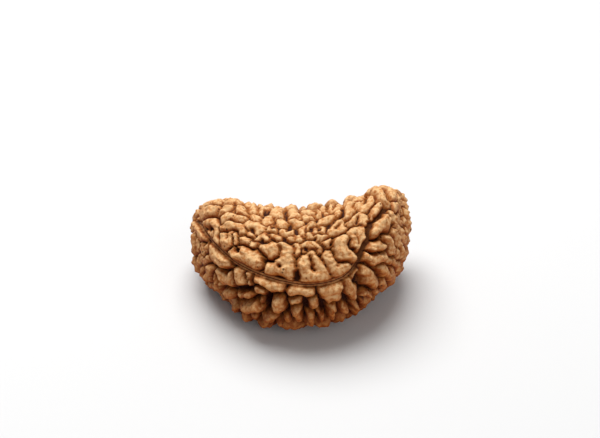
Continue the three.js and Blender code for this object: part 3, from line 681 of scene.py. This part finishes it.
def relief(points, sizes):
    """Height of the surface above the core at points of it, with what the colours and their painted shade
    follow.
    """
    places = waver(points)
    distance, spine, girth, lift = nearest_nodules(places)
    from_suture = signed_distance_to(front_points(SUTURE), points)
    x, _, z = points.T
    along = np.abs(x)
    under = ramped(z, *UNDER_SPAN)
    belly = ramped(-from_suture, *BELLY_SPAN_UNDER_SUTURE) * ramped(along, *BELLY_SPAN)

    # furrows: between nodules, drawn ones, and creases
    furrows = [front_points(stroke) for stroke in FRONT_FURROWS]
    distance = np.minimum(distance, distance_to(furrows, places))
    for half_width, crease in FRONT_CREASES:
        from_crease = distance_to([front_points(crease)], points)
        distance = np.minimum(distance, from_crease + CREASE_SIDE - half_width)
    distance = np.maximum(0, distance - sizes.furrow_half_width / MM - BELLY_GAP * belly * (1 - under))

    # nodules: a share from furrow to crown, then the height
    size = np.clip(girth / LARGE_GIRTH, *SIZE_LIMITS) * (1 + BELLY_SWELL * belly)
    shoulder = rounded(distance / size, sizes.shoulder / MM)
    inward = distance / (distance + np.maximum(SPINE_HALF_WIDTH, spine))
    crown = (1 - CROWN_ROUNDNESS) * inward * (2 - inward) + CROWN_ROUNDNESS * rounded(inward, 1)
    dome = (1 - CROWN_SHARE) * shoulder + CROWN_SHARE * crown
    depth = 1 + DEPTH_SPREAD * lumps(points, DEPTH_PITCH) + BELLY_DEPTH * belly * (1 - under)
    depth -= TOP_SHALLOWER * ramped(z, *TOP_SPAN) + UNDER_SHALLOWER * under
    depth -= END_SHALLOWER * ramped(along, *END_SPAN)
    floor = -sizes.furrow_depth / MM * np.maximum(LEAST_DEPTH, depth)
    nodule = size * (floor + (sizes.nodule_top / MM - floor) * dome) + lift * dome
    horn = ramped(along, *HORN_INNER_SPAN) * ramped(along, *HORN_OUTER_SPAN) * ramped(z, *HORN_UNDER_SPAN)
    nodule -= HORN_RISE * horn
    nodule += dome * (LUMP_HEIGHT * lumps(points, LUMP_PITCH) + GRAIN_HEIGHT * lumps(points, GRAIN_PITCH))

    # the suture: a furrow with a wall on each side and two round lips along its middle
    away = np.abs(from_suture)
    share = suture_share(points)
    wall = rounded(np.maximum(0, away - sizes.suture_half_width / MM * share), SUTURE_SHOULDER)
    suture_floor = -sizes.suture_depth / MM
    height = suture_floor + (nodule - suture_floor) * wall
    lip = sizes.rib_half_width / MM / 2
    lips = np.sqrt(np.maximum(0, 1 - (away / lip - 1) ** 2))
    height += lip * lips * (1 - wall) * ramped(x, *RIB_SPAN) + swell(points)

    # the colours' share: painted shade, brown on a flank near a furrow and reaching farther on the belly
    shaded_flank = rounded(distance / size, FLANK_REACH * (1 + BELLY_FLANK * belly))
    return height, (FLANK_SHARE * shaded_flank + (1 - FLANK_SHARE) * crown) * wall, from_suture / share


def deselect_all():
    bpy.ops.object.select_all(action="DESELECT")


def edge_pairs(mesh):
    pairs = np.empty(2 * len(mesh.edges), dtype=np.int32)
    mesh.edges.foreach_get("vertices", pairs)
    return pairs.reshape(-1, 2)


def evened(directions, pairs):
    """Slides each place on the core toward its farther neighbours, which evens the faces out."""
    places = core_point(directions)
    ends = np.concatenate([pairs, pairs[:, ::-1]])
    steps = places[ends[:, 1]] - places[ends[:, 0]]
    lengths = np.linalg.norm(steps, axis=1)
    total = np.bincount(ends[:, 0], lengths)
    move = np.stack([np.bincount(ends[:, 0], lengths * steps[:, k]) for k in range(3)], axis=1)
    move *= EVEN_STEP / total[:, None]
    normals = core_normal(directions)
    move -= np.einsum("ij,ij->i", move, normals)[:, None] * normals
    return core_direction(places + move)


def grown_seed(sizes):
    """A block is rounded to a ball, drawn out to the core and raised by the relief."""
    deselect_all()
    bpy.ops.mesh.primitive_cube_add(size=2)
    seed = bpy.context.object
    seed.name = seed.data.name = "grown_seed"
    bpy.ops.object.mode_set(mode="EDIT")
    bpy.ops.mesh.select_all(action="SELECT")
    bpy.ops.mesh.subdivide(number_cuts=sizes.cuts - 1)
    bpy.ops.object.mode_set(mode="OBJECT")
    cast = seed.modifiers.new("Cast", "CAST")
    cast.factor = 1
    bpy.ops.object.modifier_apply(modifier=cast.name)
    mesh = seed.data
    directions = np.empty(3 * len(mesh.vertices))
    mesh.vertices.foreach_get("co", directions)
    directions = unit(directions.reshape(-1, 3))
    pairs = edge_pairs(mesh)
    for _ in range(EVEN_ROUNDS):
        directions = evened(directions, pairs)
    points = core_point(directions)
    height, dome, from_suture = relief(points, sizes)
    points += height[:, None] * core_normal(directions)
    points += CORE_PLACE
    points[:, 2] = np.maximum(0, points[:, 2])
    mesh.vertices.foreach_set("co", (points * MM).ravel())
    # dome: the colours' share, from the painted shade of a furrow to the crown
    for name, values in (("dome", dome), ("from_suture", from_suture)):
        mesh.attributes.new(name, "FLOAT", "POINT").data.foreach_set("value", values)
    mesh.update()
    bpy.ops.object.shade_smooth()
    return seed


def add_node(tree, kind, inputs=None, **settings):
    """A node with its settings, and its inputs set to values or linked to other nodes' outputs."""
    node = tree.nodes.new(kind)
    for name, value in settings.items():
        setattr(node, name, value)
    for name, value in (inputs or {}).items():
        if isinstance(value, bpy.types.NodeSocket):
            tree.links.new(value, node.inputs[name])
        else:
            node.inputs[name].default_value = value
    return node


def seed_shell(colours):
    """Stony seed shell, cleaned and lightly oiled: a hard plant tissue, with painted shade in the furrows, on
    the flanks and below.
    """
    material = bpy.data.materials.new("seed_shell")
    material.use_nodes = True
    tree = material.node_tree
    shader = tree.nodes["Principled BSDF"]
    crown, shaded_flank, furrow, suture, valley_shade, side, low = (
        (*getattr(colours, name), 1)
        for name in ("crown", "shaded_flank", "furrow", "suture", "valley_shade", "side", "low")
    )
    place = add_node(tree, "ShaderNodeTexCoord").outputs["Object"]
    axes = add_node(tree, "ShaderNodeSeparateXYZ", {"Vector": place})
    dome = add_node(tree, "ShaderNodeAttribute", attribute_name="dome").outputs["Fac"]
    from_suture = add_node(tree, "ShaderNodeAttribute", attribute_name="from_suture").outputs["Fac"]
    away = add_node(tree, "ShaderNodeMath", {0: from_suture}, operation="ABSOLUTE").outputs[0]

    # painted shade: from the dark furrow through the brown flank to the tan crown, with the change a little
    # uneven
    mottle = add_node(tree, "ShaderNodeTexNoise", {"Vector": place, "Scale": 1.1 / MM, "Detail": 5.0})
    uneven = add_node(tree, "ShaderNodeMapRange",
                      {"Value": mottle.outputs["Fac"], "To Min": -MOTTLE / 2, "To Max": MOTTLE / 2})
    tone = add_node(tree, "ShaderNodeMath", {0: dome, 1: uneven.outputs[0]}, operation="ADD")
    ramp = add_node(tree, "ShaderNodeValToRGB", {"Fac": tone.outputs[0]})
    first, last = ramp.color_ramp.elements
    first.position, first.color = 0.1, furrow
    last.position, last.color = 0.88, crown
    middle = ramp.color_ramp.elements.new(0.53)
    middle.color = shaded_flank

    # pores: dark dots as fine as pin pricks, painted shade in the pits
    spots = add_node(tree, "ShaderNodeTexVoronoi", {"Vector": place, "Scale": 1 / (1.1 * MM)})
    picks = add_node(tree, "ShaderNodeSeparateColor", {"Color": spots.outputs["Color"]})
    pore_size = add_node(tree, "ShaderNodeMapRange",
                         {"Value": picks.outputs["Red"], "From Min": 0.3, "From Max": 1.0, "To Max": 0.16})
    pore = add_node(tree, "ShaderNodeMath",
                    {0: spots.outputs["Distance"], 1: pore_size.outputs[0]}, operation="LESS_THAN")
    dark = add_node(tree, "ShaderNodeMath", {0: pore.outputs[0], 1: 0.75}, operation="MULTIPLY")
    shell = add_node(tree, "ShaderNodeMix",
                     {0: dark.outputs[0], 6: ramp.outputs["Color"], 7: furrow}, data_type="RGBA")

    # the suture: smooth and lighter brown, with a fine dark line between its lips, and a valley darkened with
    # painted shade
    seam = add_node(tree, "ShaderNodeMapRange", {"Value": away, "From Min": 0.32, "From Max": 0.25})
    line = add_node(tree, "ShaderNodeMapRange", {"Value": away, "From Min": 0.03, "From Max": 0.09})
    lips = add_node(tree, "ShaderNodeMix", {0: line.outputs[0], 6: furrow, 7: suture}, data_type="RGBA")
    past_rib = add_node(tree, "ShaderNodeMapRange", {
        "Value": axes.outputs["X"], "From Min": (RIB_END - 0.6) * MM, "From Max": (RIB_END + 0.6) * MM,
    })
    floor = add_node(tree, "ShaderNodeMix",
                     {0: past_rib.outputs[0], 6: lips.outputs[2], 7: valley_shade}, data_type="RGBA")
    sewn = add_node(tree, "ShaderNodeMix",
                    {0: seam.outputs[0], 6: shell.outputs[2], 7: floor.outputs[2]}, data_type="RGBA")

    # fine darker flecks all over
    grain = add_node(tree, "ShaderNodeTexNoise", {"Vector": place, "Scale": 2.2 / MM, "Detail": 6.0})
    fleck = add_node(tree, "ShaderNodeMapRange",
                     {"Value": grain.outputs["Fac"], "From Min": 0.58, "From Max": 0.36, "To Max": 0.8})
    flecked = add_node(tree, "ShaderNodeMix", {0: fleck.outputs[0], 6: sewn.outputs[2], 7: side},
                       data_type="RGBA", blend_type="MULTIPLY")

    # painted highlight and shade: what faces up is paler than what faces down or sideways
    facing = add_node(tree, "ShaderNodeNewGeometry").outputs["Normal"]
    upward = add_node(tree, "ShaderNodeSeparateXYZ", {"Vector": facing}).outputs["Z"]
    facing_away_shade = add_node(tree, "ShaderNodeMapRange", {"Value": upward, "From Min": 0.8, "From Max": -0.4})
    shaded = add_node(tree, "ShaderNodeMix", {0: facing_away_shade.outputs[0], 6: flecked.outputs[2], 7: side},
                      data_type="RGBA", blend_type="MULTIPLY")

    # painted shade: the sides and the underside are darker and redder
    underside_shade_share = add_node(tree, "ShaderNodeMapRange",
                    {"Value": axes.outputs["Z"], "From Min": 9 * MM, "From Max": 2 * MM})
    tinted = add_node(tree, "ShaderNodeMix", {0: underside_shade_share.outputs[0], 6: shaded.outputs[2], 7: low},
                      data_type="RGBA", blend_type="MULTIPLY")
    tree.links.new(tinted.outputs[2], shader.inputs["Base Color"])

    # a dull sheen, rough with the flecks and pitted at the pores
    rough = add_node(tree, "ShaderNodeBump",
                     {"Height": grain.outputs["Fac"], "Strength": 0.9, "Distance": 0.16 * MM})
    pitted = add_node(tree, "ShaderNodeBump", {
        "Height": pore.outputs[0], "Normal": rough.outputs["Normal"], "Strength": 0.6, "Distance": 0.1 * MM,
    }, invert=True)
    tree.links.new(pitted.outputs["Normal"], shader.inputs["Normal"])
    shader.inputs["Roughness"].default_value = 0.6
    shader.inputs["IOR"].default_value = 1.5
    shader.inputs["Specular IOR Level"].default_value = 0.1
    return material


class RUDRAKSHA_OT_seed(bpy.types.Operator):
    """Grow the seed in the place of its solid"""

    bl_idname = "rudraksha.seed"
    bl_label = "Grow the Seed"

    def execute(self, context):
        seed = grown_seed(context.scene.seed_sizes)
        seed.data.materials.append(seed_shell(context.scene.seed_colours))
        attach(seed, "root")
        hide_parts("seed")
        return {"FINISHED"}


# Camera: above the front, aimed a little over the seed's middle, as in the photograph
LENS = 135.0
SENSOR = 36.0
VIEW_WIDTH = 82.23 * MM
VIEW_CENTRE = (-0.06, 5.03)


def add_camera():
    bpy.ops.object.camera_add()
    camera = bpy.context.object
    camera.data.lens = LENS
    camera.data.sensor_width = SENSOR
    camera.data.clip_start = 0.01
    camera.data.clip_end = 10
    aim = (np.array([VIEW_CENTRE[0], 0, 0]) + VIEW_CENTRE[1] * FRONT_UP + CORE_PLACE) * MM
    camera.location = aim + TO_EYE * VIEW_WIDTH * LENS / SENSOR
    camera.rotation_euler = (math.pi / 2 - FRONT_TILT, 0, 0)
    bpy.context.scene.camera = camera


def add_light(name, size, power, place):
    """A soft lamp that faces the seed, size and place in millimetres."""
    bpy.ops.object.light_add(type="AREA")
    lamp = bpy.context.object
    lamp.name = name
    lamp.data.shape = "DISK"
    lamp.data.size = size * MM
    lamp.data.energy = power
    x, y, z = place
    lamp.location = (x * MM, y * MM, z * MM)
    lamp.rotation_euler = lamp.location.to_track_quat("Z", "Y").to_euler()


def add_floor():
    bpy.ops.mesh.primitive_plane_add(size=4)
    floor = bpy.context.object
    floor.name = "floor"
    material = bpy.data.materials.new("matte_white_card")
    material.use_nodes = True
    shader = material.node_tree.nodes["Principled BSDF"]
    shader.inputs["Base Color"].default_value = (*to_linear("#d6d6d6"), 1)
    shader.inputs["Roughness"].default_value = 0.9
    floor.data.materials.append(material)


class RUDRAKSHA_OT_stage(bpy.types.Operator):
    """Add the floor, the lights and the camera"""

    bl_idname = "rudraksha.stage"
    bl_label = "Set the Stage"

    def execute(self, context):
        deselect_all()
        add_floor()
        add_light("overhead", size=400, power=2.7, place=(-60, 150, 400))
        add_light("front_fill", size=500, power=0.7, place=(220, -380, 200))
        add_camera()
        world = context.scene.world or bpy.data.worlds.new("studio")
        context.scene.world = world
        world.use_nodes = True
        background = world.node_tree.nodes["Background"]
        background.inputs["Color"].default_value = (*to_linear("#ffffff"), 1)
        background.inputs["Strength"].default_value = 0.27
        context.scene.view_settings.view_transform = "Standard"
        return {"FINISHED"}


class RUDRAKSHA_PT_panel(bpy.types.Panel):
    """Steps that build the seed"""

    bl_label = "Rudraksha Seed"
    bl_space_type = "VIEW_3D"
    bl_region_type = "UI"
    bl_category = "Rudraksha"

    def draw(self, context):
        layout = self.layout
        for name in SeedSizes.__annotations__:
            layout.prop(context.scene.seed_sizes, name)
        for name in SeedColours.__annotations__:
            layout.prop(context.scene.seed_colours, name)
        layout.operator("rudraksha.seed")
        layout.operator("rudraksha.stage")


CLASSES = (SeedSizes, SeedColours, RUDRAKSHA_OT_seed, RUDRAKSHA_OT_stage, RUDRAKSHA_PT_panel)


def register():
    for cls in CLASSES:
        bpy.utils.register_class(cls)
    bpy.types.Scene.seed_sizes = PointerProperty(type=SeedSizes)
    bpy.types.Scene.seed_colours = PointerProperty(type=SeedColours)


def unregister():
    del bpy.types.Scene.seed_colours
    del bpy.types.Scene.seed_sizes
    for cls in reversed(CLASSES):
        bpy.utils.unregister_class(cls)


def main():
    register()
    bpy.ops.rudraksha.seed()
    bpy.ops.rudraksha.stage()


if __name__ == "__main__":
    main()
